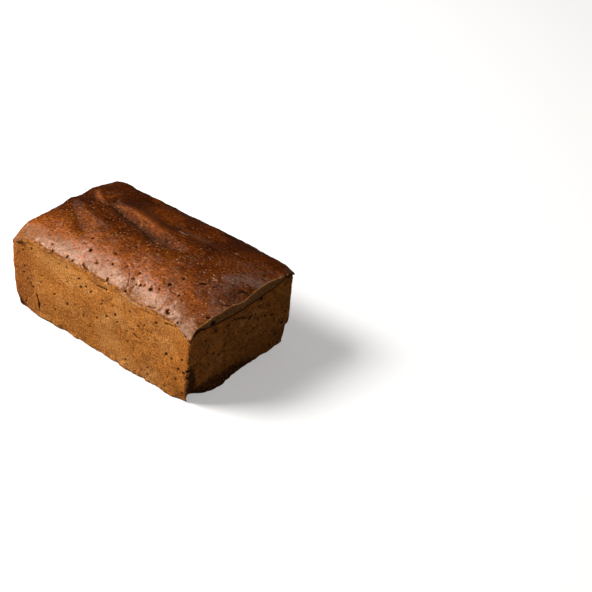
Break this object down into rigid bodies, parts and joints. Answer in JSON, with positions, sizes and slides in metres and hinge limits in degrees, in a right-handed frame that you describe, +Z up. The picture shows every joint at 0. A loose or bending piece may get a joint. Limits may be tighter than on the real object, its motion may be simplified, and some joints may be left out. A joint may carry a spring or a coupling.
{
  "type": "tin loaf",
  "caption": "Small oblong tin loaf of dense brown bread: flat base, slightly widening walls and a domed glossy crust with a lip at one end.",
  "frame": {"origin": "on the plane of the flat base the loaf stands on, under the middle of the loaf's box", "axes": "+X along the length towards the end where the crust hangs over as a lip, +Y across, +Z up"},
  "size_m": [0.1718, 0.1026, 0.0728],
  "materials": {
    "bread_crust": "baked bread: glossy dark brown domed crust, matt golden brown sponge-like walls"
  },
  "bodies": {
    "root": {"loaf": "bread_crust"}
  },
  "joints": []
}
